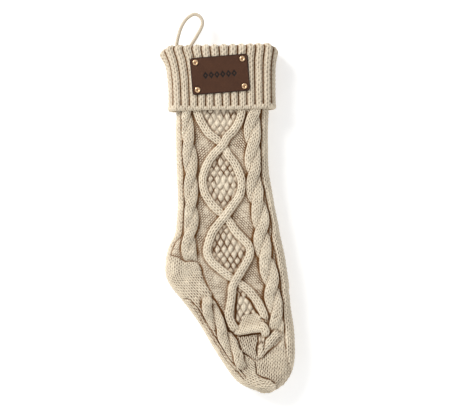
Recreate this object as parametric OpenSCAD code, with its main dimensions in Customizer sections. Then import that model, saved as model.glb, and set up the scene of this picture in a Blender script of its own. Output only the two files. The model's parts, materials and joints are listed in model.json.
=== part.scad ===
// Cable-knit hanging stocking: a knitted tube of front and back panels with a heel and a
// toe, a ribbed cuff turned down over its top, a knitted hanging loop sewn inside the
// mouth, and a leather patch held on the cuff by four two-piece rivets.
// +Z is up, the front faces -Y, and the origin is where a hook bears inside the loop.

/* [Knitted fabric] */
// Thickness of the single knitted layer of the leg and foot
knit_t = 4.2; // [3.6:0.1:4.4]
// Thickness of the ribbed layer of the cuff
rib_t = 4.5; // [4:0.1:4.6]
// Distance over which a panel rounds over into its side seam
edge_round = 16; // [13:0.5:20]
// Gap that keeps the front and back panels apart along the seams, each side
seam_gap = 0.2; // [0.15:0.05:0.4]
// Radius of the seam allowance that runs inside each side
seam_r = 1.2; // [0.8:0.1:1.3]

/* [Cuff] */
// Half depth of the turned-down cuff, at its ribs' mean face
cuff_depth = 18; // [17.8:0.1:19]
// Number of full ribs across the front
rib_count = 12; // [9:1:14]
// Height of a rib above the cuff's mean face, equal to the depth of a groove
rib_relief = 0.8; // [0:0.1:0.9]

/* [Hanging loop] */
// Diameter of the knitted cord
cord_d = 5.4; // [4:0.2:5.6]

/* [Leather patch] */
// Length of the patch along the ribs' row
patch_w = 89; // [84:1:96]
// Height of the patch
patch_h = 57; // [52:1:62]
// Thickness of the leather
patch_t = 2.2; // [1.6:0.1:3]
// Corner radius of the patch
patch_corner = 4.5; // [2:0.5:6]
// Angle that the patch sits at, positive with its right end up
patch_tilt = 4.7; // [-6:0.1:6]

/* [Rivets] */
// Spacing of the rivets along the patch
rivet_dx = 72; // [64:1:76]
// Spacing of the rivets up the patch
rivet_dz = 42; // [36:1:46]
// Radius of a rivet's cap and of its back plate
rivet_r = 4.35; // [3.5:0.05:5]
// Height of the domed cap
cap_h = 1.9; // [1.5:0.1:2.4]
// Radius of the rivet's post
post_r = 1.5; // [1.2:0.1:1.8]

/* [Movement] */
// Height of the fold line where the loop leaves the mouth
loop_fold_z = -43; // [-43:0.5:-40]
// Largest bend of the ankle, each way
ankle_bend = 30; // [0:5:35]

/* [Hidden] */
$fn = 48;
oatmeal = "#d8cbb0";
oatmeal_back = "#cfc2a6";
yarn = "#e2d7bf";
leather = "#55382a";
copper = "#c98f5d";
copper_dark = "#8c6240";

// Left and right edge of the leg and foot, row by row from the top: x and z of the left
// end, x and z of the right end, and the half depth of the outer face.
stocking_rows = [
  [-27, -140, 114, -140, 12.2],
  [-27, -185, 113, -185, 12.4],
  [-26.5, -235, 113.5, -235, 12.6],
  [-24, -285, 122, -285, 13],
  [-26.5, -324, 130, -324, 13.5],
  [-28.5, -339, 132, -339, 13.8],
  [-39, -358, 136, -357, 14.2],
  [-43.5, -385, 141, -380, 14.6],
  [-42, -407, 144, -403, 14.6],
  [-28, -429, 146.5, -427, 14.4],
  [-7.5, -451, 148.5, -449, 14],
  [11, -480, 151.5, -473, 13.6],
  [30.5, -513, 155, -501, 13.2],
  [51.5, -545, 155.5, -530, 12.8],
  [71, -568, 151, -551, 12],
  [91.5, -578, 141, -568, 11],
  [110, -583, 127, -580, 10]
];
ankle_row = 5;
heel_end_row = 9;
toe_row = 13;
last_row = len(stocking_rows) - 1;
ankle_z = stocking_rows[ankle_row][1];

// Edges of the turned-down cuff, from its fold to its hem, in the same form.
cuff_rows = [
  [-52, -60, 129, -56, 18],
  [-43, -80, 125, -78, 18],
  [-39, -112, 124.5, -110, 18],
  [-38.5, -147, 125, -143, 18]
];
// Edges of the cuff's inner layer, from under the fold to the top of the leg.
lining_rows = [
  [-43.2, -60, 122.2, -56, 12.2],
  [-36, -84, 119, -80, 12.2],
  [-29, -112, 115.5, -112, 12.2],
  [-27, -139.7, 114, -139.7, 12.2]
];
// The fold rises from the cuff's two top corners to its level middle.
fold_rise = 11;
left_corner = 0.15;
right_corner = 0.11;
// The first groove, and the grooves' even pitch, as fractions of the cuff's width.
first_groove = 0.03;
rib_pitch = (1 - 2 * first_groove) / rib_count;
// The ribbed layer turns over the fold in a half circle of this outer radius.
fold_r = (cuff_depth - lining_rows[0][4] + knit_t) / 2;
layer_gap = 1.6;

// Centre line of the hanging loop from its left fold, over the hook, to its right fold.
loop_route = [
  [-26.9, -43], [-26, -37.5], [-23.7, -28], [-20.7, -19], [-17, -11.5],
  [-12.3, -5], [-6.8, -0.5], [0, 2.7], [6, 1], [10.3, -2.8],
  [12.6, -8], [12.4, -14], [9.4, -21.5], [5.4, -28.5], [0.8, -36.5], [-3.2, -43]
];
// Each sewn end runs down from the fold and back against the lining: x at its top, and
// then its lean sideways.
loop_end_x = [-27.4, -6];
loop_end_lean = 1.5;
loop_end_top = loop_fold_z - cord_d / 2 - 1.5;
loop_end_bottom = -72;
loop_end_back = lining_rows[0][4] - knit_t - cord_d / 2 - 0.6;
tack_heights = [-56, -61, -66];
tack_r = 0.5;

patch_x = 40;
patch_z = -92.5;
patch_back = cuff_depth + rib_relief + 0.2;
patch_front = patch_back + patch_t;
post_clearance = 0.1;
plate_t = 0.7;
rivet_places = [for (sx = [-1, 1], sz = [1, -1]) [sx * rivet_dx / 2, sz * rivet_dz / 2]];

// ---- Curves ----

function clamp(v, low, high) = max(low, min(high, v));
function mix(a, b, f) = a * (1 - f) + b * f;

// A smooth curve through the entries of a table, at position t counted in entries.
function spline(table, t) =
  let (
    n = len(table) - 1,
    i = clamp(floor(t), 0, n - 1),
    f = t - i,
    p1 = table[i],
    p2 = table[i + 1],
    p0 = i > 0 ? table[i - 1] : 2 * p1 - p2,
    p3 = i + 2 <= n ? table[i + 2] : 2 * p2 - p1
  )
  0.5 * (2 * p1 + (p2 - p0) * f + (2 * p0 - 5 * p1 + 4 * p2 - p3) * f * f
    + (3 * p1 - p0 - 3 * p2 + p3) * f * f * f);

// Quarter-circle rise from 0 at the seam to 1 at the given distance from it.
function round_over(distance, reach) =
  let (q = 1 - clamp(distance / reach, 0, 1)) sqrt(1 - q * q);

// Evenly spread values, and values that crowd towards both ends.
function steps(from, to, count) = [for (i = [0:count]) mix(from, to, i / count)];
function crowded(count) = [for (i = [0:count]) (1 - cos(180 * i / count)) / 2];

// ---- Surfaces: every point has its half depth in y, and fronts are turned to -Y ----

// Height of the rows' middle above the end of the toe.
function above_toe(t) =
  let (row = spline(stocking_rows, t), end = stocking_rows[last_row])
  (row[1] + row[3] - end[1] - end[3]) / 2;

// A point of a layer of the leg or foot: inset is 0 on its outer face.
function stocking_point(t, u, inset) =
  let (
    row = spline(stocking_rows, t),
    left = row[0] + inset,
    width = row[2] - row[0] - 2 * inset,
    side = min(u, 1 - u) * width,
    depth = row[4] - inset,
    reach = edge_round * depth / row[4],
    y = seam_gap + (depth - seam_gap) * round_over(min(side, above_toe(t) - inset), reach)
  )
  [left + u * width, -y, mix(row[1], row[3], u)];

// The cut at the ankle leans away from the joint, so the panels clear each other.
function ankle_cut(point, way) =
  [point[0], point[1], ankle_z + way * (0.5 - point[1] * tan(ankle_bend / 2))];

function rib_wave(u) = -rib_relief * cos(360 * (u - first_groove) / rib_pitch);

function fold_line(u) =
  mix(cuff_rows[0][1], cuff_rows[0][3], u)
  + fold_rise * min(round_over(u, left_corner), round_over(1 - u, right_corner));

// A point of the cuff at row t, lowered or raised by dz, at a depth under its outer face.
function cuff_point(rows, t, u, inset, relief, dz) =
  let (
    row = spline(rows, t),
    left = row[0] + inset,
    width = row[2] - row[0] - 2 * inset,
    depth = row[4] - inset,
    reach = edge_round * depth / row[4],
    y = seam_gap + (depth + relief - seam_gap) * round_over(min(u, 1 - u) * width, reach),
    level = fold_line(u) - mix(cuff_rows[0][1], cuff_rows[0][3], u),
    z = mix(row[1], row[3], u) + level * max(0, 1 - t)
  )
  [left + u * width, -y, z + dz];

// ---- Solids ----

function grid_faces(rows, cols) =
  let (
    base = rows * cols,
    outer = [for (i = [0:rows - 2], j = [0:cols - 2])
      let (a = i * cols + j, b = a + 1, d = a + cols, c = d + 1)
      each [[a, b, c], [a, c, d]]],
    inner = [for (f = outer) [f[2] + base, f[1] + base, f[0] + base]],
    top = [for (j = [0:cols - 2]) let (a = j, b = j + 1)
      each [[a, a + base, b + base], [a, b + base, b]]],
    bottom = [for (j = [0:cols - 2]) let (a = (rows - 1) * cols + j, b = a + 1)
      each [[a, b, b + base], [a, b + base, a + base]]],
    left = [for (i = [0:rows - 2]) let (a = i * cols, b = a + cols)
      each [[a, b, b + base], [a, b + base, a + base]]],
    right = [for (i = [0:rows - 2]) let (a = i * cols + cols - 1, b = a + cols)
      each [[b, a, a + base], [b, a + base, b + base]]]
  )
  concat(outer, inner, top, bottom, left, right);

// A closed sheet between an outer and an inner grid of points.
module sheet(outer, inner) {
  points = concat([for (row = outer) each row], [for (row = inner) each row]);
  polyhedron(points, grid_faces(len(outer), len(outer[0])), convexity = 8);
}

// The back panels are the front ones turned over the mid plane.
module as_back() {
  mirror([0, 1, 0])
    children();
}

// A round tube through a list of points, closed at both ends.
module tube(points, radius, sides) {
  n = len(points);
  function along(i) =
    let (d = points[min(i + 1, n - 1)] - points[max(i - 1, 0)]) d / norm(d);
  function across(i) = let (c = cross(along(i), [0, 1, 0])) c / norm(c);
  rings = [for (i = [0:n - 1], k = [0:sides - 1])
    points[i] + radius * (cos(360 * k / sides) * across(i)
      + sin(360 * k / sides) * cross(across(i), along(i)))];
  walls = [for (i = [0:n - 2], k = [0:sides - 1])
    let (a = i * sides + k, b = i * sides + (k + 1) % sides)
    each [[a, a + sides, b + sides], [a, b + sides, b]]];
  start = [[for (k = [0:sides - 1]) k]];
  finish = [[for (k = [sides - 1:-1:0]) (n - 1) * sides + k]];
  polyhedron(points = rings, faces = concat(walls, start, finish), convexity = 6);
}

// ---- Leg, heel, foot and toe ----

panel_columns = crowded(20);

// One panel of the stocking between two rows. The two flags say which end meets the
// ankle, and closed shortens the inner face so that the toe is shut.
module panel(from, to, count, cut_top = false, cut_bottom = false, closed = false) {
  function row(t, inset, i) =
    [for (u = panel_columns)
      let (p = stocking_point(t, u, inset))
      cut_top && i == 0 ? ankle_cut(p, -1) : cut_bottom && i == count ? ankle_cut(p, 1) : p];
  inner_end = closed ? toe_inner_end : to;
  outer = [for (i = [0:count]) row(mix(from, to, i / count), 0, i)];
  inner = [for (i = [0:count]) row(mix(from, inner_end, i / count), knit_t, i)];
  sheet(outer, inner);
}
// Row position where the inside of the toe ends, one layer above the end of the toe.
toe_inner_end = lookup(knit_t, [for (t = [last_row:-0.02:toe_row]) [above_toe(t), t]]);
section_gap = 0.01;

module leg_panel() {
  panel(0, ankle_row, 9, cut_bottom = true);
}

module heel_panel() {
  panel(ankle_row, heel_end_row - section_gap, 7, cut_top = true);
}

module foot_panel() {
  panel(heel_end_row, toe_row - section_gap, 7);
}

module toe_panel() {
  panel(toe_row, last_row, 8, closed = true);
}

module leg_front() {
  color(oatmeal)
    leg_panel();
}

module leg_back() {
  color(oatmeal_back)
    as_back()
      leg_panel();
}

module heel_front() {
  color(oatmeal)
    heel_panel();
}

module heel_back() {
  color(oatmeal_back)
    as_back()
      heel_panel();
}

module foot_front() {
  color(oatmeal)
    foot_panel();
}

module foot_back() {
  color(oatmeal_back)
    as_back()
      foot_panel();
}

module toe_front() {
  color(oatmeal)
    toe_panel();
}

module toe_back() {
  color(oatmeal_back)
    as_back()
      toe_panel();
}

// ---- Seam allowances, inside the panels' edges ----

seam_inset = knit_t + seam_r + 0.5;
ankle_clear = seam_r + 0.6;

// The seam's line at row t, on the left (side 0) or right (side 1) edge.
function seam_point(t, side) =
  let (row = spline(stocking_rows, t))
  side == 0 ? [row[0] + seam_inset, 0, row[1]] : [row[2] - seam_inset, 0, row[3]];

module side_seam(from, to, count, side, dz_start = 0, dz_end = 0) {
  points = [for (i = [0:count])
    seam_point(mix(from, to, i / count), side)
      + [0, 0, i == 0 ? dz_start : i == count ? dz_end : 0]];
  color(yarn)
    tube(points, seam_r, 8);
}

module leg_seam_left() {
  side_seam(0.02, ankle_row, 9, 0, dz_end = ankle_clear);
}

module leg_seam_right() {
  side_seam(0.02, ankle_row, 9, 1, dz_end = ankle_clear);
}

module sole_seam() {
  side_seam(ankle_row, toe_row + 1, 20, 0, dz_start = -ankle_clear);
}

module instep_seam() {
  side_seam(ankle_row, toe_row + 1, 16, 1, dz_start = -ankle_clear);
}

module toe_seam() {
  row = spline(stocking_rows, toe_inner_end);
  lift = [0, 0, seam_r + 1.2];
  start = [row[0] + seam_inset + 2, 0, row[1]] + lift;
  end = [row[2] - seam_inset - 2, 0, row[3]] + lift;
  color(yarn)
    tube([for (f = steps(0, 1, 4)) mix(start, end, f)], seam_r, 8);
}

// ---- Cuff ----

cuff_columns = steps(0, 1, 64);
hem_row = len(cuff_rows) - 1;
// Rows up the cuff's face, from the hem to just under the fold.
face_rows = [hem_row, 2, 1, 0.45];
fold_angles = [0, 36, 72, 108, 144, 180];

// The turned-down layer: up the face, over the fold and a little way down inside.
module cuff_layer() {
  function face(t, inset, relief) =
    [for (u = cuff_columns) cuff_point(cuff_rows, t, u, inset, relief * rib_wave(u), 0)];
  function over(angle, radius, relief) =
    [for (u = cuff_columns)
      let (r = radius + relief * rib_wave(u))
      cuff_point(cuff_rows, 0, u, fold_r - r * cos(angle), 0, r * sin(angle) - fold_r)];
  outer = concat(
    [for (t = face_rows) face(t, 0, 1)],
    [for (a = fold_angles) over(a, fold_r, a < 150 ? 1 : 0)]
  );
  inner_r = fold_r - rib_t;
  inner = concat(
    [for (t = face_rows) face(t, rib_t, 0)],
    [for (a = fold_angles) over(a, max(inner_r, 0.05), 0)]
  );
  // A sheet's rows run downwards, so both grids are read backwards.
  sheet(
    [for (i = [len(outer) - 1:-1:0]) outer[i]],
    [for (i = [len(inner) - 1:-1:0]) inner[i]]
  );
}

// The layer inside the cuff that carries on down into the leg.
module lining_layer() {
  rows = [0, 0.7, 1.3, 2, 2.5, 3];
  function face(t, inset) =
    [for (u = panel_columns)
      cuff_point(lining_rows, t, u, inset, 0, t == 0 ? -fold_r - layer_gap : 0)];
  sheet([for (t = rows) face(t, 0)], [for (t = rows) face(t, knit_t)]);
}

// Turns a shape made about the Z axis so that it points out of the patch's front.
module on_patch(place) {
  translate([patch_x, 0, patch_z])
    rotate([0, -patch_tilt, 0])
      translate([place[0], 0, place[1]])
        rotate([90, 0, 0])
          children();
}

module cuff_front() {
  color(oatmeal)
    difference() {
      cuff_layer();
      for (place = rivet_places)
        on_patch(place)
          cylinder(r = post_r + 2 * post_clearance, h = patch_back + 5);
    }
}

module cuff_back() {
  color(oatmeal_back)
    as_back()
      cuff_layer();
}

module cuff_lining_front() {
  color(oatmeal)
    lining_layer();
}

module cuff_lining_back() {
  color(oatmeal_back)
    as_back()
      lining_layer();
}

// ---- Hanging loop ----

// The route as smooth points, three to each stretch.
function loop_line() =
  [for (t = steps(0, len(loop_route) - 1, 3 * (len(loop_route) - 1)))
    let (p = spline(loop_route, t)) [p[0], 0, p[1]]];

module hanging_loop() {
  color(yarn)
    tube(loop_line(), cord_d / 2, 10);
}

function loop_end_point(side, z) =
  let (f = clamp((loop_end_top - z) / (loop_end_top - loop_end_bottom), 0, 1))
  [loop_end_x[side] + loop_end_lean * f, loop_end_back * round_over(f, 0.6), z];

module loop_end(side) {
  color(yarn)
    tube([for (z = steps(loop_end_top, loop_end_bottom, 6)) loop_end_point(side, z)],
      cord_d / 2, 10);
}

module loop_end_left() {
  loop_end(0);
}

module loop_end_right() {
  loop_end(1);
}

// Thread tacks that wrap each sewn end against the lining behind it.
module loop_stitches() {
  color(yarn)
    for (side = [0, 1], z = tack_heights)
      translate(loop_end_point(side, z))
        rotate_extrude()
          translate([cord_d / 2 + tack_r + 0.02, 0])
            circle(r = tack_r, $fn = 16);
}

// ---- Patch and rivets ----

module leather_patch() {
  w = patch_w / 2 - patch_corner;
  h = patch_h / 2 - patch_corner;
  color(leather)
    difference() {
      on_patch([0, 0])
        translate([0, 0, patch_back])
          linear_extrude(patch_t)
            union() {
              square([patch_w, 2 * h], center = true);
              square([2 * w, patch_h], center = true);
              for (sx = [-1, 1], sy = [-1, 1])
                translate([sx * w, sy * h])
                  circle(r = patch_corner);
            }
      for (place = rivet_places)
        on_patch(place)
          translate([0, 0, patch_back - 1])
            cylinder(r = post_r + post_clearance, h = patch_t + 2);
    }
}

// A domed ring that closes over the front of the post.
module rivet_cap(index) {
  rim = 0.5;
  eye = post_r + post_clearance;
  crown = (eye + rivet_r) / 2;
  color(copper)
    on_patch(rivet_places[index])
      translate([0, 0, patch_front])
        rotate_extrude()
          polygon(concat(
            [[eye, 0], [rivet_r, 0], [rivet_r, rim]],
            [for (a = [15:15:165])
              [crown + (rivet_r - crown) * cos(a), rim + (cap_h - rim) * sin(a)]],
            [[eye, rim]]
          ));
}

// The post through patch and cuff, with its flat plate behind the ribbed layer.
module rivet_post(index) {
  plate_front = cuff_depth - rib_t - 0.1;
  color(copper_dark)
    on_patch(rivet_places[index])
      union() {
        translate([0, 0, plate_front - plate_t])
          cylinder(r = rivet_r, h = plate_t);
        translate([0, 0, plate_front - plate_t])
          cylinder(r = post_r, h = patch_front + cap_h * 0.5 - plate_front + plate_t);
      }
}

hanging_loop();
loop_end_left();
loop_end_right();
loop_stitches();
cuff_front();
cuff_back();
cuff_lining_front();
cuff_lining_back();
leg_front();
leg_back();
leg_seam_left();
leg_seam_right();
heel_front();
heel_back();
foot_front();
foot_back();
toe_front();
toe_back();
sole_seam();
instep_seam();
toe_seam();
leather_patch();
rivet_cap(0);  // rivet_cap_1
rivet_cap(1);  // rivet_cap_2
rivet_cap(2);  // rivet_cap_3
rivet_cap(3);  // rivet_cap_4
rivet_post(0);  // rivet_post_1
rivet_post(1);  // rivet_post_2
rivet_post(2);  // rivet_post_3
rivet_post(3);  // rivet_post_4
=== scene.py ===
import json
import math

import bpy
import numpy as np
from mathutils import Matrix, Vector


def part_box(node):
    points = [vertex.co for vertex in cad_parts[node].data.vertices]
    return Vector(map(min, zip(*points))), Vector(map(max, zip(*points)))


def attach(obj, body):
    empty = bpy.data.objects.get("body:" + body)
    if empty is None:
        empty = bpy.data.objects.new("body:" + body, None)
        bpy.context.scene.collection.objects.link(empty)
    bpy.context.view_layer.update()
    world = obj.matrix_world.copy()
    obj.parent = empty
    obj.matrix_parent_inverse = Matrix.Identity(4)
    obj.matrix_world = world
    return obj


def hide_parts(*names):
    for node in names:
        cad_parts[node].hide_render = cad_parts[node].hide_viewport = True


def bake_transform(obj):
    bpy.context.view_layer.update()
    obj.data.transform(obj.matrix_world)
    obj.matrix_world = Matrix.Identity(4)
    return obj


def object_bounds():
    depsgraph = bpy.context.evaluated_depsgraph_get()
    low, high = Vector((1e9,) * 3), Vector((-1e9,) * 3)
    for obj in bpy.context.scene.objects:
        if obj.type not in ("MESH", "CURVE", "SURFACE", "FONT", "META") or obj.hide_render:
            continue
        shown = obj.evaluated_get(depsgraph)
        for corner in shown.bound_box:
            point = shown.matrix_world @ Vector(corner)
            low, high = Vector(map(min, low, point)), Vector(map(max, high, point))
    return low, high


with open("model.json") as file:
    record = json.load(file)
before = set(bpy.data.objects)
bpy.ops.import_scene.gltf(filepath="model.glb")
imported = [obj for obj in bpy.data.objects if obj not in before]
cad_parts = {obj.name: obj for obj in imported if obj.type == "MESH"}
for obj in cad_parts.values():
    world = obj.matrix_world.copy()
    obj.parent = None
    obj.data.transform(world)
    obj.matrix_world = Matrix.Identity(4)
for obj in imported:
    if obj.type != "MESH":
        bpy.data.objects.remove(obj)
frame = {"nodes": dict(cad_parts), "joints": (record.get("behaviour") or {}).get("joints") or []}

CAD_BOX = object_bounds()
MM = 0.001
NODES = frame["nodes"]
JOINTS = {joint["name"]: joint for joint in frame["joints"]}
ANKLE_Z = JOINTS["ankle_flex"]["pos_m"][2] / MM

# The frame's fabric, in millimetres: single layer, ribbed layer, rounding at the seams,
# and the gap that parts the front and back panels there.
KNIT_T = 4.2
RIB_T = 4.5
EDGE_ROUND = 16.0
SEAM_GAP = 0.2

# The plain stitch's width and height, and the seed stitch's.
WALE = 6.2
COURSE = 6.0
MOSS_WIDTH = 10.2
MOSS_HEIGHT = 17.8

# The meshes: row spacing, columns over a rounded side and over the flat between, and how
# many outer points there are to each inner one.
FINE = 0.64
SIDE_COLUMNS = 36
FLAT_COLUMNS = 163
INNER_STEP = 3

# Where a deep crease begins to be eased off and the deepest it may go, how much painted shade
# the inside gets, and the level of a point that nothing has been painted on.
CREASE_START = -2.2
CREASE_DEEPEST = -3.5
INSIDE_PIT_SHADE = 0.3
UNPAINTED = -50.0

# How many points from_line takes at a time, to spare memory.
CHUNK = 20000


# ---------------------------------------------------------------- camera, lights, stage

def make_camera():
    """Straight on to the front, with a little more room below than above."""
    low, high = CAD_BOX
    lens, sensor, frame_width, lower = 100.0, 36.0, 0.696, 0.010
    data = bpy.data.cameras.new("camera")
    data.lens = lens
    data.sensor_width = sensor
    camera = bpy.data.objects.new("camera", data)
    centre = (low + high) / 2
    distance = frame_width * lens / sensor
    camera.location = (centre.x, low.y - distance, centre.z - lower)
    camera.rotation_euler = (math.radians(90), 0, 0)
    bpy.context.scene.collection.objects.link(camera)
    bpy.context.scene.camera = camera


def area_light(name, place, target, size, power, colour=(1, 1, 1)):
    data = bpy.data.lights.new(name, "AREA")
    data.shape = "DISK"
    data.size = size
    data.energy = power
    data.color = colour
    lamp = bpy.data.objects.new(name, data)
    lamp.location = place
    lamp.rotation_euler = (Vector(target) - Vector(place)).to_track_quat("-Z", "Y").to_euler()
    bpy.context.scene.collection.objects.link(lamp)


def make_lights():
    low, high = CAD_BOX
    middle = (low + high) / 2
    area_light("key", (middle.x - 2.0, -1.6, middle.z + 1.8), middle, 1.4, 87, (1, 0.985, 0.96))
    area_light("fill", (middle.x + 1.6, -2.2, middle.z + 0.1), middle, 2.2, 6)
    area_light("back_fill", (middle.x - 0.8, 2.4, middle.z + 0.9), middle, 2.4, 22)
    world = bpy.data.worlds.new("studio")
    world.use_nodes = True
    world.node_tree.nodes["Background"].inputs["Color"].default_value = (1, 1, 1, 1)
    world.node_tree.nodes["Background"].inputs["Strength"].default_value = 0.45
    bpy.context.scene.world = world
    bpy.context.scene.view_settings.view_transform = "Standard"


class Shader:
    """Short names for building a node material."""

    def __init__(self, name):
        self.material = bpy.data.materials.new(name)
        self.material.use_nodes = True
        self.tree = self.material.node_tree
        self.tree.nodes.clear()

    def node(self, kind, inputs=None, **settings):
        made = self.tree.nodes.new(kind)
        for key, value in settings.items():
            setattr(made, key, value)
        for key, value in (inputs or {}).items():
            if isinstance(value, bpy.types.NodeSocket):
                self.tree.links.new(value, made.inputs[key])
            else:
                made.inputs[key].default_value = value
        return made

    def math(self, operation, a, b=0.0, clamp=False):
        return self.node(
            "ShaderNodeMath", {0: a, 1: b}, operation=operation, use_clamp=clamp
        ).outputs[0]

    def mix(self, factor, a, b):
        made = self.node("ShaderNodeMix", data_type="RGBA")
        for index, value in ((0, factor), (6, a), (7, b)):
            if isinstance(value, bpy.types.NodeSocket):
                self.tree.links.new(value, made.inputs[index])
            else:
                made.inputs[index].default_value = value
        return made.outputs[2]

    def stored(self, name):
        """A value that add_values keeps on the mesh."""
        return self.node("ShaderNodeAttribute", attribute_name=name).outputs["Fac"]

    def texture(self, kind, **inputs):
        """The outputs of a texture laid through the object's own space."""
        place = self.node("ShaderNodeTexCoord").outputs["Object"]
        return self.node(f"ShaderNodeTex{kind}", {"Vector": place, **inputs}).outputs

    def surface(self, tone, rough, height, strength, distance, finish):
        """A finished material with fine bumps; finish holds the shader's own numbers."""
        bump = self.node("ShaderNodeBump", {
            "Height": height, "Strength": strength, "Distance": distance})
        shader = self.node("ShaderNodeBsdfPrincipled", {
            "Base Color": tone, "Roughness": rough, "Normal": bump.outputs[0], **finish})
        return self.output(shader.outputs[0])

    def output(self, shader):
        self.node("ShaderNodeOutputMaterial", {"Surface": shader})
        return self.material


def stage_material(name, colour, see_through):
    """Matt paint. A see-through one glows a little, hides nothing from behind and blocks
    no lamp."""
    s = Shader(name)
    paint = s.node("ShaderNodeBsdfDiffuse", {"Color": colour}).outputs[0]
    if not see_through:
        return s.output(paint)
    glow = s.node("ShaderNodeEmission", {"Color": (1, 1, 1, 1), "Strength": 0.4}).outputs[0]
    paint = s.node("ShaderNodeAddShader", {0: paint, 1: glow}).outputs[0]
    behind = s.node("ShaderNodeNewGeometry").outputs["Backfacing"]
    shadow = s.node("ShaderNodeLightPath").outputs["Is Shadow Ray"]
    clear = s.node("ShaderNodeBsdfTransparent").outputs[0]
    factor = s.math("MAXIMUM", behind, shadow)
    return s.output(s.node("ShaderNodeMixShader", {0: factor, 1: paint, 2: clear}).outputs[0])


def plane(name, corners, material):
    mesh = bpy.data.meshes.new(name)
    mesh.from_pydata(corners, [], [(0, 1, 2, 3)])
    mesh.materials.append(material)
    made = bpy.data.objects.new(name, mesh)
    bpy.context.scene.collection.objects.link(made)


def make_stage():
    """A pale wall close behind the stocking and a pale floor well under it."""
    low, high = CAD_BOX
    wall_y = high.y + 0.003
    floor_z = low.z - 0.9
    side, top = 3.0, 2.2
    wall = stage_material("wall_paint", (0.78, 0.78, 0.78, 1), True)
    floor = stage_material("floor_paint", (0.85, 0.85, 0.84, 1), False)
    plane("wall", [(-side, wall_y, floor_z), (side, wall_y, floor_z),
                   (side, wall_y, top), (-side, wall_y, top)], wall)
    plane("floor", [(-side, -3.0, floor_z), (side, -3.0, floor_z),
                    (side, wall_y, floor_z), (-side, wall_y, floor_z)], floor)


# ---------------------------------------------------------------- the frame's outlines

def cad_edges(names):
    """Both ends of every edge of some CAD nodes, in millimetres."""
    starts, ends = [], []
    for name in names:
        mesh = NODES[name].data
        co = np.empty(len(mesh.vertices) * 3)
        mesh.vertices.foreach_get("co", co)
        co = co.reshape(-1, 3) / MM
        pairs = np.empty(len(mesh.edges) * 2, int)
        mesh.edges.foreach_get("vertices", pairs)
        starts.append(co[pairs[0::2]])
        ends.append(co[pairs[1::2]])
    return np.concatenate(starts), np.concatenate(ends)


def extent(edges, axis, heights):
    """Lowest and highest place along an axis, where the edges pass each height."""
    a, b = edges
    low, high = np.full(len(heights), np.nan), np.full(len(heights), np.nan)
    for i, height in enumerate(heights):
        da, db = a[:, 2] - height, b[:, 2] - height
        hit = (da * db <= 0) & (da != db)
        if hit.any():
            f = da[hit] / (da[hit] - db[hit])
            place = a[hit, axis] + f * (b[hit, axis] - a[hit, axis])
            low[i], high[i] = place.min(), place.max()
    return low, high


def blurred(values, sigma, axis=0):
    """Gaussian blur of an array along one axis, with its ends held."""
    reach = int(3 * sigma + 1)
    kernel = np.exp(-0.5 * (np.arange(-reach, reach + 1) / sigma) ** 2)
    kernel /= kernel.sum()
    moved = np.moveaxis(np.asarray(values, float), axis, -1)
    pad = [(0, 0)] * (moved.ndim - 1) + [(reach, reach)]
    padded = np.pad(moved, pad, mode="edge")
    out = np.zeros_like(moved)
    for i, weight in enumerate(kernel):
        out += weight * padded[..., i:i + moved.shape[-1]]
    return np.moveaxis(out, -1, axis)


def blurred_both(values, sigma):
    return blurred(blurred(values, sigma, 0), sigma, 1)


def filled(levels, values, skip=False):
    """Values with gaps and skipped levels bridged."""
    good = ~(np.isnan(values) | skip)
    return np.interp(levels, levels[good], values[good])


class Outline:
    """Left and right edge and half depth of some CAD shells, at any height.

    The depth is bridged near the height where the shells leave a gap for a joint."""

    GAP_HALF = 7

    def __init__(self, names, sigma, gap_z):
        edges = cad_edges(names)
        self.low = min(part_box(name)[0].z for name in names) / MM
        high = max(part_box(name)[1].z for name in names) / MM
        self.z = np.arange(self.low + 0.05, high, 1.0)
        left, right = extent(edges, 0, self.z)
        front, _ = extent(edges, 1, self.z)
        gap = abs(self.z - gap_z) < self.GAP_HALF
        self.left = blurred(filled(self.z, left), sigma)
        self.right = blurred(filled(self.z, right), sigma)
        self.depth = blurred(filled(self.z, -front, gap), sigma)

    def edges_at(self, z):
        return np.interp(z, self.z, self.left), np.interp(z, self.z, self.right)

    def depth_at(self, z):
        return np.interp(z, self.z, self.depth)

    def route(self, points):
        """Points given as (share of the width from the left, millimetres below the hook)."""
        share, down = np.array(points, float).T
        left, right = self.edges_at(-down)
        return np.stack([left + share * (right - left), -down], 1)


def round_over(distance, reach):
    q = 1 - np.clip(distance / reach, 0, 1)
    return np.sqrt(np.maximum(1 - q * q, 0))


# ---------------------------------------------------------------- noise and curves

def noise(x, z, size, seed):
    """Smooth value noise from -1 to 1 over a plane, with features of about this size."""
    table = np.random.default_rng(seed).uniform(-1, 1, (64, 64))
    u, v = x / size, z / size
    i, j = np.floor(u).astype(int), np.floor(v).astype(int)
    fu, fv = u - i, v - j
    fu, fv = fu * fu * (3 - 2 * fu), fv * fv * (3 - 2 * fv)
    a, b = table[i % 64, j % 64], table[(i + 1) % 64, j % 64]
    c, d = table[i % 64, (j + 1) % 64], table[(i + 1) % 64, (j + 1) % 64]
    return (a * (1 - fu) + b * fu) * (1 - fv) + (c * (1 - fu) + d * fu) * fv


def with_ends(p):
    """Points with one more past each end, in line with the last two."""
    return np.concatenate([[2 * p[0] - p[1]], p, [2 * p[-1] - p[-2]]])


def curve(four, f):
    """On a smooth curve through four points, the place a share f from second to third."""
    p0, p1, p2, p3 = four
    return 0.5 * (2 * p1 + (p2 - p0) * f + (2 * p0 - 5 * p1 + 4 * p2 - p3) * f ** 2
                  + (3 * p1 - p0 - 3 * p2 + p3) * f ** 3)


def length_along(line):
    """Length from the first point to each point of a line."""
    steps = np.linalg.norm(np.diff(line, axis=0), axis=1)
    return np.concatenate([[0], np.cumsum(steps)])


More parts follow.
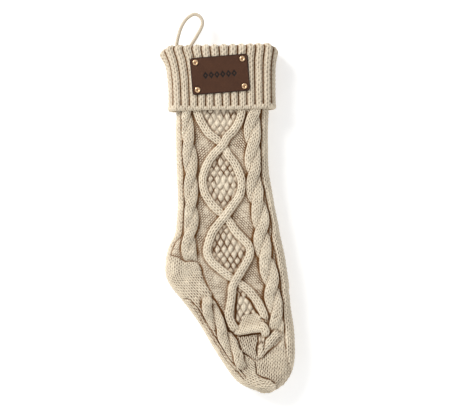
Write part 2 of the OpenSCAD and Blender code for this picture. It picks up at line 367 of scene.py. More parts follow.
def smooth_line(points, step=1.0):
    """Points about one step apart along a smooth curve through the given ones."""
    p = np.asarray(points, float)
    ends = with_ends(p)
    f = np.linspace(0, 1, 24, endpoint=False)[:, None]
    dense = np.concatenate([curve(ends[i:i + 4], f) for i in range(len(p) - 1)] + [p[-1:]])
    length = length_along(dense)
    count = max(2, int(length[-1] / step) + 1)
    even = np.linspace(0, length[-1], count)
    return np.stack([np.interp(even, length, dense[:, k]) for k in range(p.shape[1])], 1)


def plane_line(points):
    """A smooth line through (right, down) points, as (x, z)."""
    return smooth_line(np.array(points, float) * (1, -1))


def line_frame(line):
    """Length so far, direction and normal at each point of a plane line. On a line that
    runs down, the normal points to the viewer's right."""
    way = np.gradient(line, axis=0)
    way /= np.linalg.norm(way, axis=1)[:, None]
    return length_along(line), way, np.stack([-way[:, 1], way[:, 0]], 1)


def from_line(line, x, z, reach):
    """For points within reach of a line: their mask, length along it and signed distance."""
    s, way, normal = line_frame(line)
    low, high = line.min(0) - reach, line.max(0) + reach
    mask = (x > low[0]) & (x < high[0]) & (z > low[1]) & (z < high[1])
    px, pz = x[mask], z[mask]
    index = np.empty(len(px), int)
    for i in range(0, len(px), CHUNK):
        gap = (px[i:i + CHUNK, None] - line[None, :, 0]) ** 2
        gap += (pz[i:i + CHUNK, None] - line[None, :, 1]) ** 2
        index[i:i + CHUNK] = gap.argmin(1)
    dx, dz = px - line[index, 0], pz - line[index, 1]
    along = dx * way[index, 0] + dz * way[index, 1]
    side = dx * normal[index, 0] + dz * normal[index, 1]
    past = ((index == 0) & (along < -1)) | ((index == len(line) - 1) & (along > 1))
    close = (abs(side) < reach) & ~past
    out = np.zeros(x.shape, bool)
    where = np.flatnonzero(mask.ravel())[close]
    out.ravel()[where] = True
    return out, (s[index] + along)[close], side[close], index[close]


def inside(polygon, x, z):
    """Which points lie in a closed polygon of (right, down) points."""
    polygon = np.array(polygon, float) * (1, -1)
    out = np.zeros(x.shape, bool)
    ends = np.roll(polygon, -1, axis=0)
    for (x0, z0), (x1, z1) in zip(polygon, ends):
        if z0 != z1:
            out ^= ((z0 > z) != (z1 > z)) & (x < (x1 - x0) * (z - z0) / (z1 - z0) + x0)
    return out


# ---------------------------------------------------------------- stitches

FLAT, STOCKINETTE, PURL, MOSS = 0, 1, 2, 3


def stockinette(c, r):
    """Plain knit: c counts wales across and r courses down. Gives height and hole, 0 to 1.

    Each stitch is a V of two legs. They part at its top, where they leave a hole, and lean
    on the next wale's legs there; at its foot they meet, and leave a hole beside the wale."""
    a = abs(2 * (c - np.floor(c)) - 1)
    leg = 0.5 + 0.18 * np.cos(2 * np.pi * r)
    ridge = np.exp(-((a - leg) / 0.34) ** 2)
    overlap = 0.5 + 0.5 * np.cos(2 * np.pi * (r - 0.55 * a + 0.1))
    top, foot = r - np.round(r), r - np.floor(r) - 0.5
    hole = np.maximum(np.exp(-(a / 0.27) ** 2 - (top / 0.28) ** 2),
                      0.85 * np.exp(-((1 - a) / 0.27) ** 2 - (foot / 0.28) ** 2))
    line = np.exp(-((0.5 - abs(a - 0.5)) / 0.20) ** 2)
    return ridge * (0.70 + 0.30 * overlap) - 0.45 * hole, np.maximum(hole, 0.5 * line)


def purl(c, r):
    """The fabric's reverse: rows of short beads, r counting rows and c beads along them."""
    row = 0.5 + 0.5 * np.cos(2 * np.pi * r)
    bead = 0.5 + 0.5 * np.cos(2 * np.pi * (c + 0.5 * np.round(r)))
    height = row ** 0.8 * (0.25 + 0.75 * bead)
    return height, np.clip(1.05 - 1.7 * height, 0, 1)


def moss(c, r):
    """Puffed seed stitch: staggered knobs, each a V of two legs."""
    lattice = np.cos(np.pi * (c + r)) * np.cos(np.pi * (c - r))
    row = 0.5 + 0.5 * np.cos(4 * np.pi * r)
    bump = abs(lattice) ** 0.6 * (0.62 + 0.38 * row)
    legs, gap = stockinette(2 * c + 0.5, 2 * r + 0.3)
    height = bump * (0.86 + 0.28 * legs)
    node = np.clip(1.4 - bump / 0.42, 0, 1)
    return height, np.clip(np.maximum(0.75 * gap, node), 0, 1)


# Each stitch's shape and its height in millimetres.
STITCHES = {STOCKINETTE: (stockinette, 2.0), PURL: (purl, 1.3), MOSS: (moss, 3.0)}


def yarn_bumps(kind, c, r, x, z):
    """Height of a kind of knitting at some points, and how far in a hole each lies, which sets its
    painted hole shade.
    """
    shape, amount = STITCHES[kind]
    bump, hole = shape(c + 0.09 * noise(x, z, 9.0, 3), r + 0.16 * noise(x, z, 13.0, 4))
    uneven = 1 + 0.25 * noise(x, z, 6.0, 5)
    dark = 0.80 + 0.35 * noise(x, z, 4.0, 6) + 0.35 * noise(x, z, 11.0, 12)
    return amount * (bump - 0.5) * uneven, hole * np.clip(dark, 0.15, 1.1)


class Relief:
    """The knit's height over a grid of points, painted layer by layer."""

    def __init__(self, x, z):
        self.x, self.z = x, z
        self.level = np.full(x.shape, UNPAINTED)
        self.kind = np.full(x.shape, FLAT)
        self.c = np.zeros(x.shape)
        self.r = np.zeros(x.shape)
        # How strongly each point's stitch holes are darkened with painted shade.
        self.hole_shade_gain = np.ones(x.shape)

    def put(self, mask, level, kind, c, r, hole_shade_gain=1.0):
        """Paints the points of a mask where the new level is the higher one; the last value scales
        the painted shade in their stitch holes.
        """
        top = level > self.level[mask]
        where = np.flatnonzero(mask.ravel())[top]
        for target, value in ((self.level, level), (self.kind, kind), (self.c, c), (self.r, r),
                              (self.hole_shade_gain, hole_shade_gain)):
            value = np.broadcast_to(value, level.shape)
            target.ravel()[where] = value[top]

    def strand(self, line, half, height, base, wales=2, lift=None, kind=STOCKINETTE, flat=2.0,
               end=9.0, hole_shade_gain=1.0):
        """A raised band of stitches along a line. Its half width may be one number or one
        for each point, and lift raises or sinks it point by point."""
        half = np.broadcast_to(half, len(line))
        mask, s, side, index = from_line(line, self.x, self.z, half.max())
        across = side / half[index]
        crown = (1 - np.clip(abs(across), 0, 1) ** flat) ** 0.5
        total = line_frame(line)[0][-1]
        ends = np.clip(np.minimum(s, total - s) / end, 0, 1)
        ends = ends * ends * (3 - 2 * ends)
        level = height * crown
        if lift is not None:
            level = level + lift[index]
        level = np.where(abs(across) < 1, base + level * ends - 1.5 * (1 - ends),
                         UNPAINTED)
        if kind == MOSS:
            self.put(mask, level, kind, side / MOSS_WIDTH, s / MOSS_HEIGHT, hole_shade_gain)
        else:
            self.put(mask, level, kind, (across + 1) / 2 * wales, s / COURSE, hole_shade_gain)

    def groove(self, line, half, depth):
        """A soft, slightly uneven crease pressed into what is there."""
        mask, s, side, _ = from_line(line, self.x, self.z, 3 * half)
        total = line_frame(line)[0][-1]
        ends = np.clip(np.minimum(s, total - s) / (3 * half), 0, 1)
        uneven = 0.85 + 0.45 * noise(s, 0 * s, 11.0, 8)
        side = side + 0.7 * noise(s, 0 * s, 7.0, 9)
        self.level[mask] -= depth * uneven * ends * np.exp(-(side / half) ** 2)

    def finish(self):
        """The height in millimetres outward from the skin, with and without its stitches,
        and how much painted shade each point's stitch hole gets."""
        level = blurred_both(self.level, 0.6)
        height, pit = level.copy(), np.zeros(level.shape)
        for kind in STITCHES:
            here = self.kind == kind
            bump, deep = yarn_bumps(
                kind, self.c[here], self.r[here], self.x[here], self.z[here])
            height[here] += bump
            pit[here] = deep * self.hole_shade_gain[here]
        return height, level, pit


CABLE_WALES = 3
CABLE_HEIGHT = 4.2
CABLE_FLAT = 2.6
CABLE_END = 18.0


def cable(relief, centre, crossings, offset, half, base, rise):
    """A two-strand rope: at every crossing the upper strand runs down to the left."""
    s, _, normal = line_frame(centre)
    at = np.interp(crossings, -centre[:, 1], s)
    pitch = np.mean(np.diff(at))
    marks = np.concatenate([[at[0] - 3 * pitch], at, [at[-1] + 3 * pitch]])
    turns = np.concatenate([[-3], np.arange(len(at)), [len(at) + 2]])
    phase = np.pi * np.interp(s, marks, turns)
    for start in (0, np.pi):
        sway = -np.sin(phase + start)
        sway = np.sign(sway) * abs(sway) ** 0.75
        line = centre + normal * (offset * sway)[:, None]
        lift = rise * np.cos(phase + start)
        relief.strand(line, half, CABLE_HEIGHT, base, CABLE_WALES, lift, flat=CABLE_FLAT,
                      end=CABLE_END, hole_shade_gain=0.9)


# ---------------------------------------------------------------- mesh building

def grid_normals(points):
    """Outward normals of a grid whose rows run down and columns run right, front view."""
    across = np.gradient(points, axis=1)
    down = np.gradient(points, axis=0)
    n = np.cross(down, across)
    length = np.linalg.norm(n, axis=2)[..., None]
    return n / np.maximum(length, 1e-9)


def shell_faces(rows, cols, step):
    """Faces of a closed sheet: a fine outer grid, a coarser inner one, and its rim."""
    grid = np.arange(rows * cols).reshape(rows, cols)
    outer = np.stack([grid[:-1, :-1], grid[1:, :-1], grid[1:, 1:], grid[:-1, 1:]], -1)
    small_rows, small_cols = (rows - 1) // step + 1, (cols - 1) // step + 1
    small = np.arange(small_rows * small_cols).reshape(small_rows, small_cols) + rows * cols
    inner = np.stack([small[:-1, :-1], small[:-1, 1:], small[1:, 1:], small[1:, :-1]], -1)
    rims = []
    for big, little, turned in (
        (grid[0], small[0], False), (grid[-1], small[-1], True),
        (grid[:, 0], small[:, 0], True), (grid[:, -1], small[:, -1], False),
    ):
        for k in range(len(little) - 1):
            face = [*big[k * step:(k + 1) * step + 1], little[k + 1], little[k]]
            rims.append(face[::-1] if turned else face)
    return outer.reshape(-1, 4), inner.reshape(-1, 4), rims


def sharpen_border(mesh, rows, cols):
    """Keeps the outer grid's shading clear of its rim's, along the grid's border."""
    grid = np.arange(rows * cols).reshape(rows, cols)
    border = np.zeros(len(mesh.vertices), bool)
    for side in (grid[0], grid[-1], grid[:, 0], grid[:, -1]):
        border[side] = True
    pairs = np.empty(len(mesh.edges) * 2, int)
    mesh.edges.foreach_get("vertices", pairs)
    first, last = pairs[0::2], pairs[1::2]
    edge = mesh.attributes.new("sharp_edge", "BOOLEAN", "EDGE")
    edge.data.foreach_set("value", border[first] & border[last])


def make_mesh(name, points, quads, others, material):
    """An object from millimetre points, an array of quads and a list of other faces."""
    mesh = bpy.data.meshes.new(name)
    mesh.vertices.add(len(points))
    mesh.vertices.foreach_set("co", (points * MM).astype(np.float32).ravel())
    sizes = np.concatenate([np.full(len(quads), 4), [len(f) for f in others]]).astype(int)
    loops = np.concatenate([quads.ravel(), *[np.array(f) for f in others]]).astype(int)
    mesh.loops.add(len(loops))
    mesh.loops.foreach_set("vertex_index", loops)
    mesh.polygons.add(len(sizes))
    starts = np.concatenate([[0], np.cumsum(sizes)[:-1]])
    mesh.polygons.foreach_set("loop_start", starts)
    mesh.update(calc_edges=True)
    mesh.validate()
    mesh.polygons.foreach_set("use_smooth", np.ones(len(mesh.polygons), bool))
    mesh.materials.append(material)
    made = bpy.data.objects.new(name, mesh)
    bpy.context.scene.collection.objects.link(made)
    return made


def add_values(made, name, values):
    """Keeps one number for each point of the mesh, for its material."""
    attribute = made.data.attributes.new(name, "FLOAT", "POINT")
    attribute.data.foreach_set("value", values.astype(np.float32))


def stands_for(piece, node, rides_on=None):
    """Hides the node a piece replaces, and hangs the piece on a body if one is given."""
    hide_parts(node)
    if rides_on:
        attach(piece, rides_on)


def eased(height):
    """Heights with the deepest creases eased off, so that they stay in the fabric."""
    low = np.minimum(height - CREASE_START, 0)
    ease = CREASE_DEEPEST - CREASE_START
    return np.maximum(height, CREASE_START) + ease * (1 - np.exp(low / abs(ease)))


class Sheet:
    """A closed knit sheet over a grid: an outer skin moved by the relief, and a plain inside.

    The level is the relief without its stitches; the painted shade in the creases and wide recesses
    follows it."""

    def __init__(self, outer, inner, height, level, pit, c, r):
        self.skin = outer + grid_normals(outer) * eased(height)[..., None]
        self.inner = inner
        # Painted shade: creases and wide recesses darken the further they sink below their
        # surroundings.
        near = blurred_both(level, 1.2)
        crease = blurred_both(level, 3.2) - near
        broad = blurred_both(level, 11) - near
        self.values = {"pit": pit, "crease": np.clip(crease, 0, 2),
                       "broad": np.clip(broad, 0, 4), "wale": c, "course": r}

    def piece(self, name, material, back=False, rows=slice(None)):
        """The object made from some of the sheet's rows, turned to the back if asked."""
        skin = self.skin[rows]
        small = self.inner[rows][::INNER_STEP, ::INNER_STEP]
        points = np.concatenate([skin.reshape(-1, 3), small.reshape(-1, 3)])
        outer_faces, inner_faces, rims = shell_faces(*skin.shape[:2], INNER_STEP)
        if back:
            points[:, 1] *= -1
            outer_faces, inner_faces = outer_faces[:, ::-1], inner_faces[:, ::-1]
            rims = [face[::-1] for face in rims]
        made = make_mesh(name, points, np.concatenate([outer_faces, inner_faces]), rims, material)
        sharpen_border(made.data, *skin.shape[:2])
        for key, values in self.values.items():
            # The inside is evenly darkened as painted shade.
            inside_value = INSIDE_PIT_SHADE if key == "pit" else 0
            pad = np.full(small.shape[0] * small.shape[1], inside_value, float)
            add_values(made, key, np.concatenate([values[rows].ravel(), pad]))
        return made


# ---------------------------------------------------------------- materials

def yarn_material(name, light, brown, dark):
    """Chunky yarn: pale crowns, twisted plies, fine specks, and painted shade: brown in the creases
    and wide recesses, dark brown in the stitch holes.
    """
    s = Shader(name)
    pit, crease, broad = s.stored("pit"), s.stored("crease"), s.stored("broad")
    speck = s.texture("Noise", Scale=900.0, Detail=3.0)["Fac"]
    patch = s.texture("Noise", Scale=28.0, Detail=2.0)["Fac"]
    # Painted shade: creases and wide recesses turn brown by how far they sink.
    depth = s.math("ADD", s.math("MULTIPLY", crease, 0.95), s.math("MULTIPLY", broad, 0.08))
    uneven = s.math("MULTIPLY", s.math("SUBTRACT", speck, 0.5), 0.4)
    depth = s.math("ADD", depth, uneven, clamp=True)
    tone = s.mix(depth, light, brown)
    # Painted shade: stitch holes and the deepest creases turn dark brown.
    cleft = s.math("MULTIPLY", s.math("MAXIMUM", s.math("SUBTRACT", crease, 0.6), 0.0), 0.9)
    hollow = s.math("ADD", pit, uneven)
    hollow = s.math("ADD", hollow, cleft, clamp=True)
    tone = s.mix(hollow, tone, dark)
    drift = s.math("MULTIPLY", s.math("SUBTRACT", patch, 0.5), 0.35, clamp=True)
    tone = s.mix(drift, tone, (light[0] * 0.86, light[1] * 0.84, light[2] * 0.80, 1))
    fraction = s.math("FRACT", s.stored("wale"))
    u = s.math("ABSOLUTE", s.math("SUBTRACT", s.math("MULTIPLY", fraction, 2.0), 1.0))
    phase = s.math(
        "ADD", s.math("MULTIPLY", s.stored("course"), 3.0), s.math("MULTIPLY", u, 7.0))
    ply = s.math("SINE", s.math("MULTIPLY", phase, 2 * math.pi))
    height = s.math("ADD", s.math("MULTIPLY", ply, 0.25), speck)
    rough = s.math("ADD", 0.78, s.math("MULTIPLY", speck, 0.2))
    return s.surface(tone, rough, height, 0.35, 0.0005, {
        "Sheen Weight": 0.03, "Sheen Roughness": 0.5, "Specular IOR Level": 0.12})


def leather_material():
    """Dark brown leather: fine grain, mottled colour and burnished edges."""
    s = Shader("leather")
    cells = s.texture("Voronoi", Scale=1300.0)["Distance"]
    cloud = s.texture("Noise", Scale=60.0, Detail=5.0)["Fac"]
    tone = s.mix(cloud, (0.052, 0.020, 0.010, 1), (0.085, 0.034, 0.016, 1))
    tone = s.mix(s.stored("edge"), tone, (0.022, 0.010, 0.007, 1))
    tone = s.mix(s.stored("mark"), tone, (0.008, 0.006, 0.005, 1))
    rough = s.math("ADD", 0.5, s.math("MULTIPLY", cloud, 0.25))
    return s.surface(tone, rough, s.math("ADD", cells, cloud), 0.25, 0.0004,
                     {"Specular IOR Level": 0.22})


def metal_material(name, colour, dark):
    """Copper plate with fine scratches and a little tarnish."""
    s = Shader(name)
    tarnish = s.texture("Noise", Scale=420.0, Detail=4.0)["Fac"]
    scratch = s.texture("Noise", Scale=2600.0, Detail=2.0)["Fac"]
    rough = s.math("ADD", 0.22, s.math("MULTIPLY", tarnish, 0.2))
    return s.surface(s.mix(tarnish, colour, dark), rough, scratch, 0.12, 0.0002,
                     {"Metallic": 1.0})


# The yarn's cream. The cuff's darker copy of it is painted shade over the ribs; the two browns are
# painted shade in the creases and in the stitch holes.
CREAM = (0.86, 0.765, 0.61, 1)
RIB_SHADED_CREAM = (0.73, 0.64, 0.505, 1)
CREASE_SHADE_BROWN = (0.24, 0.116, 0.038, 1)
HOLE_SHADE_BROWN = (0.12, 0.050, 0.014, 1)


# ---------------------------------------------------------------- leg, heel, foot and toe

LOWER = [f"{part}_front" for part in ("leg", "heel", "foot", "toe")]
body = Outline(LOWER, sigma=4, gap_z=ANKLE_Z)

# The two strands of the diamonds and the three rope cables, as (share of the width from
# the left, millimetres below the hook), and the depths below the hook of their crossings.
DIAMOND_A = [
    (0.221, 138), (0.221, 147), (0.271, 164), (0.348, 181), (0.445, 192), (0.509, 201),
    (0.572, 216), (0.646, 231), (0.69, 249), (0.689, 263), (0.65, 278), (0.564, 294),
    (0.484, 309), (0.416, 321), (0.356, 334), (0.34, 351), (0.341, 364), (0.368, 376),
    (0.43, 388), (0.499, 399), (0.562, 409), (0.642, 422), (0.691, 438), (0.709, 450),
    (0.715, 463), (0.70, 472)]
DIAMOND_B = [
    (0.718, 138), (0.713, 147), (0.688, 164), (0.62, 179), (0.557, 188), (0.506, 201),
    (0.404, 216), (0.331, 231), (0.282, 249), (0.272, 263), (0.293, 277), (0.361, 293),
    (0.436, 304), (0.483, 311), (0.529, 321), (0.582, 334), (0.657, 346), (0.706, 356),
    (0.706, 369), (0.66, 384), (0.61, 398), (0.571, 407), (0.521, 420), (0.477, 434),
    (0.426, 446), (0.359, 462), (0.347, 473), (0.365, 489)]
DIAMOND_CROSSINGS = [201, 309, 408]
LEFT_CABLE = [
    (0.099, 130), (0.108, 171), (0.14, 210), (0.15, 249), (0.132, 278), (0.131, 293),
    (0.14, 316), (0.135, 339), (0.18, 362), (0.215, 382)]
LEFT_CROSSINGS = [151, 198, 246, 293, 339, 383]
RIGHT_CABLE = [
    (0.837, 130), (0.84, 160), (0.836, 180), (0.848, 209), (0.842, 229), (0.839, 249),
    (0.819, 278), (0.837, 293), (0.835, 316), (0.823, 339), (0.826, 362), (0.843, 385),
    (0.86, 408), (0.853, 431), (0.85, 451), (0.835, 478), (0.80, 492)]
RIGHT_CROSSINGS = [155, 200, 245, 288, 332, 374, 418, 463]
FOOT_CABLE = [
    (0.243, 429), (0.208, 444), (0.193, 464), (0.198, 481), (0.215, 501), (0.235, 518),
    (0.266, 533), (0.313, 547)]
FOOT_CROSSINGS = [445, 487, 527]

# The plain bands at the side seams: width, the heights where the left one bends in at the
# ankle and ends at the heel, and where both fade out at the toe, over what length.
EDGE_BAND = 8.6
BAND_BEND_Z = -318
BAND_HEEL_Z = -374
BAND_TOE_Z = -548
BAND_FADE = 40

# How far below the hook the seed stitch is counted from, under the cuff, and places well
# outside the panel that close the borders of the plain knit.
KNIT_START = 138
FAR_LEFT, FAR_RIGHT, FAR_DOWN = -90, 175, 640

# Creases, folds and borders, as (millimetres right of the hook, millimetres below it).
ANKLE_VALLEY = [(-20, 300), (-18, 325), (-21, 340), (-30, 349), (-35, 359), (-38, 369)]
HEEL_VALLEY = [
    (4, 381), (10, 388), (13, 400), (17, 411), (24, 425), (33, 441)]
FOOT_VALLEY = [
    (24, 430), (33, 441), (42, 455), (48, 472), (50, 481), (59, 490), (66, 499), (70, 510),
    (71, 517)]
TOE_TOP = [(71, 517), (83, 525), (97, 533)]
TOE_CREASE = [(95, 531), (95, 540), (96, 549), (99, 554), (106, 558), (119, 563), (126, 570)]
SOLE_VALLEY = [
    (-4, 440), (10, 457), (19, 475), (30, 492), (43, 511), (54, 529), (62, 537), (74, 551),
    (82, 560)]
SOLE_NOTCH = [(-18, 437), (-10, 437), (-4, 441), (2, 448)]
RIGHT_VALLEY = [
    (105, 138), (104, 194), (103, 232), (105, 255), (110, 273), (115, 295), (119, 310),
    (121, 325), (121, 347), (125, 362), (129, 385), (134, 408), (135, 423), (137, 453),
    (139, 478), (140, 493), (142, 515), (146, 532), (152, 550)]
DIAMOND_LEFT_CREASE = [(68, 426), (65, 438), (65, 451), (64, 466), (68, 474), (73, 477)]
DIAMOND_RIGHT_CREASE = [(77, 432), (86, 440), (93, 451), (99, 461), (105, 467), (110, 470)]
HOOD_UNDER = [(62, 491), (69, 494), (77, 493), (86, 491), (95, 490), (104, 489)]
HOOD = [(61, 491), (66, 482), (72, 474), (78, 462), (96, 458), (105, 467), (109, 477), (106, 496),
        (60, 500)]
HOOD_BACK = [(99, 482), (104, 478), (109, 484), (110, 498)]
HOOD_BACK_HALF = [3.5, 6.5, 7.0, 4.5]
KNOT_PATCH = [(66, 494), (98, 488), (98, 533), (84, 525), (71, 515)]
KNOT_MIDDLE, KNOT_REACH = (83, -508), 16
KNOT_STRIP = [(104, 492), (103, 505), (102, 522)]
KNOT_SLITS = [
    [(97, 489), (99, 501), (97, 512), (98, 526)], [(110, 500), (108, 510), (106, 519)]]
ARM = [(134, 486), (125, 493), (116, 503), (108, 513), (97, 530)]
ARM_UNDER = [(137, 499), (122, 513), (110, 523), (97, 534)]
TOE_HOLLOW = [(112, 526), (122, 519), (134, 511)]
CROSS_CREASES = [
    [(49, 483), (47, 489), (44, 495)], [(71, 516), (70, 522), (68, 529)],
    [(132, 461), (127, 464), (120, 468)]]
# The grooves of the foot in the order they are pressed in: line, half width, depth.
FOOT_GROOVES = (
    (HEEL_VALLEY, 2.6, 2.4), (FOOT_VALLEY, 1.7, 4.0), (TOE_TOP, 1.5, 2.6),
    (TOE_CREASE, 1.6, 3.4), (SOLE_VALLEY, 1.4, 3.3))
SOLE_FOLD_SHIFT = (3.6, 3.2)
TOE_FOLD = [(FAR_RIGHT, 490), (134, 489), (120, 500), (108, 515)] + TOE_CREASE + [
    (128, FAR_DOWN), (FAR_RIGHT, FAR_DOWN)]


def edge_offsets(width, reach, flat_columns):
    """Distances from the left edge, spread evenly over the rounded sides and the flat."""
    phi = np.linspace(0, np.pi / 2, SIDE_COLUMNS, endpoint=False)
    side = reach * (1 - np.cos(phi))
    middle = np.linspace(reach, width - reach, flat_columns)
    return np.concatenate([side, middle, width - side[::-1]])


TOE_TURN = EDGE_ROUND * 0.8
TOE_TURN_ROWS = 36


def body_grid():
    """Points of the frame's outer and inner skin from under the cuff to the toe."""
    end = body.low
    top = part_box("leg_front")[1].z / MM
    straight = np.arange(top, end + TOE_TURN, -FINE)
    turns = TOE_TURN_ROWS - (len(straight) - 1) % INNER_STEP
    last = end + TOE_TURN * (1 - np.cos(np.linspace(np.pi / 2, 0, turns + 1)))
    z = np.concatenate([straight, last[1:]])
    rows = []
    for level in z:
        left, right = body.edges_at(level)
        depth = body.depth_at(level)
        reach = min(EDGE_ROUND, (right - left) * 0.49)
        offsets = edge_offsets(right - left, reach, FLAT_COLUMNS)
        side = np.minimum(offsets, right - left - offsets)
        near = np.minimum(side, (level - end) * EDGE_ROUND / TOE_TURN)
        y = SEAM_GAP + (depth - SEAM_GAP) * round_over(near, reach)
        inner_near = np.minimum(side * 0.94, (level - end) * 0.94)
        y_in = SEAM_GAP + (depth - KNIT_T - SEAM_GAP) * round_over(inner_near, reach)
        share = offsets / (right - left)
        x_in = left + KNIT_T + share * (right - left - 2 * KNIT_T)
        z_in = max(level, end + KNIT_T * 0.9)
        rows.append((left + offsets, -y, np.full_like(offsets, level),
                     x_in, -y_in, np.full_like(offsets, z_in)))
    data = np.array(rows).transpose(1, 0, 2)
    return np.stack(data[0:3], -1), np.stack(data[3:6], -1)


def seam_distance(points):
    """Length over the surface from the left and from the right edge of each row."""
    steps = np.linalg.norm(np.diff(points, axis=1), axis=2)
    from_left = np.concatenate([np.zeros((len(points), 1)), np.cumsum(steps, 1)], 1)
    return from_left, from_left[:, -1:] - from_left


CROSSING_LIFT = 1.5
CROSSING_REACH = 9.0


def lifts(line, crossings, over):
    """Raises a strand at the crossings where it is the upper one, and sinks it at the rest."""
    out = np.zeros(len(line))
    for down, up in zip(crossings, over):
        out += (CROSSING_LIFT if up else -CROSSING_LIFT) * np.exp(
            -((line[:, 1] + down) / CROSSING_REACH) ** 2)
    return out


def line_x(points, z):
    """Where a downward line through (right, down) points stands at each height."""
    line = plane_line(points)
    return np.interp(-z, -line[:, 1], line[:, 0])


# The rounded side is flatter than a quarter circle, so its length is a little less.
ARC_SHARE = 0.92


def arc_from_edge(distance):
    """Length over the rounded side, for a distance from the edge seen from the front."""
    turned = EDGE_ROUND * np.arccos(1 - np.clip(distance / EDGE_ROUND, 0, 1))
    return turned * ARC_SHARE + np.maximum(distance - EDGE_ROUND, 0)


def left_outline():
    """The left edge from above the ankle, round the heel and down the sole to the toe."""
    z = np.arange(-300, body.low + 3, -9.0)
    left, _ = body.edges_at(z)
    tip, _ = body.edges_at(body.low)
    past_toe = [[tip, body.low], [tip + 60, body.low + 4]]
    return smooth_line(np.concatenate([np.stack([left, z], 1), past_toe]))


def paint_ground(relief, a_line, b_line):
    """The recessed purl ground, and the seed stitch between the diamond's two strands."""
    x, z = relief.x, relief.z
    away = {}
    for name, line in (("a", a_line), ("b", b_line)):
        mask, _, side, _ = from_line(line, x, z, 400)
        away[name] = np.full(x.shape, 1e9)
        away[name][mask] = side
    nearest = np.minimum(abs(away["a"]), abs(away["b"]))
    drop = -1.2 - 1.0 * np.clip(nearest / 14, 0, 1)
    slant = np.where(away["a"] + away["b"] < 0, -1.0, 1.0)
    warp = 1.0 * noise(x, z, 26, 7)
    relief.put(np.ones(x.shape, bool), drop.ravel(), PURL,
               ((x - slant * z + warp) / 6.4).ravel(), ((x + slant * z + warp) / 4.4).ravel())
    between = away["a"] * away["b"] < 0
    relief.put(between, np.full(between.sum(), -0.7), MOSS,
               x[between] / MOSS_WIDTH, (-z[between] - KNIT_START) / MOSS_HEIGHT)


def paint_plain(relief):
    """The plain heel and sole, their wales running along the sole, and the toe's upright
    ones."""
    x, z = relief.x, relief.z
    border = [(FAR_LEFT, 371), (-36, 371), (-25, 374), (-14, 381), (0, 380)] + HEEL_VALLEY[:-1]
    border += FOOT_VALLEY[1:] + TOE_TOP[1:-1] + TOE_CREASE + [(128, FAR_DOWN), (FAR_LEFT, FAR_DOWN)]
    plain = inside(border, x, z)
    mask, s, side, _ = from_line(left_outline(), x, z, 120)
    c, r = np.zeros(x.shape), np.zeros(x.shape)
    c[mask], r[mask] = arc_from_edge(abs(side)) / WALE, s / COURSE
    plain &= mask
    relief.put(plain, np.full(plain.sum(), 0.5), STOCKINETTE, c[plain], r[plain], 1.2)
    toe = inside(TOE_FOLD, x, z)
    warp = 1.2 * noise(x, z, 24, 15)
    c, r = (x + 0.06 * z + warp) / 5.5, (-z + 0.06 * x + warp) / 5.6
    fall = -0.2 - 0.035 * np.clip(x[toe] - 100, 0, 50)
    # The toe's holes get extra painted shade.
    relief.put(toe, fall, STOCKINETTE, c[toe], r[toe], 1.45)


def paint_bands(relief, from_left, from_right):
    """The plain bands along the two side seams, turning in at the ankle and the heel."""
    x, z = relief.x, relief.z
    left, _ = body.edges_at(z)
    inner = np.where(z < BAND_BEND_Z, line_x(ANKLE_VALLEY, z), left + EDGE_BAND)
    right_valley = line_x(RIGHT_VALLEY, z)
    for mask, distance, gap in (
        ((x < inner) & (z > BAND_HEEL_Z), from_left, inner - x),
        (x > right_valley, from_right, x - right_valley),
    ):
        mask &= z > BAND_TOE_Z
        fade = np.clip((z[mask] - BAND_TOE_Z) / BAND_FADE, 0, 1)
        level = -0.6 + fade * (2.0 * round_over(gap[mask], 5.0) - 0.8)
        relief.level[mask] = UNPAINTED
        relief.put(mask, level, STOCKINETTE, distance[mask] / 6.3, -z[mask] / COURSE, 1.1)
    z_left = np.arange(-136.0, BAND_BEND_Z, -6)
    left_valley = np.stack([body.edges_at(z_left)[0] + EDGE_BAND, z_left], 1)
    relief.groove(smooth_line(left_valley), 1.4, 1.1)
    relief.groove(plane_line(ANKLE_VALLEY[1:]), 1.5, 2.6)
    relief.groove(plane_line(RIGHT_VALLEY[:-2]), 1.7, 2.2)


def paint_knot(relief):
    """The bunched crossing at the foot of the third diamond, with the folds round it."""
    x, z = relief.x, relief.z
    patch = inside(KNOT_PATCH, x, z)
    relief.level[patch] = UNPAINTED
    puff = np.hypot(x[patch] - KNOT_MIDDLE[0], z[patch] - KNOT_MIDDLE[1]) / KNOT_REACH
    relief.put(patch, -1.0 + 3.0 * np.exp(-puff ** 2), STOCKINETTE,
               (x[patch] - 0.2 * z[patch]) / 5.8, -z[patch] / 5.7, 1.9)
    relief.strand(plane_line(KNOT_STRIP), 5.2, 2.2, -0.9, 1, kind=MOSS)
    relief.strand(plane_line(ARM), 6.4, 3.6, -1.0, 2)
    for slit in KNOT_SLITS:
        relief.groove(plane_line(slit), 1.3, 3.6)
    relief.groove(plane_line(ARM_UNDER), 1.8, 2.6)
    under = plane_line(HOOD_UNDER)
    hood = inside(HOOD, x, z)
    mask, s, above, _ = from_line(under, x, z, 30)
    chosen = hood[mask] & (above > 0)
    mask[mask] = chosen
    s, above = s[chosen], above[chosen]
    swell = round_over(above, 5.0) * np.exp(-(np.maximum(above - 4, 0) / 9.0) ** 2)
    grow = 3.0 + 2.4 * np.clip(s / 24, 0, 1)
    relief.put(mask, -0.7 + grow * swell, STOCKINETTE,
               (x[mask] + 0.5 * z[mask]) / 6.0, (0.5 * x[mask] - z[mask]) / 5.6, 0.8)
    line = plane_line(HOOD_BACK)
    steps = np.linspace(0, 1, len(line))
    half = np.interp(steps, np.linspace(0, 1, len(HOOD_BACK_HALF)), HOOD_BACK_HALF)
    relief.strand(line, half, 4.6, -0.2, hole_shade_gain=0.7)
    relief.groove(under, 1.5, 3.4)
    relief.groove(plane_line(TOE_HOLLOW), 5.0, 1.8)


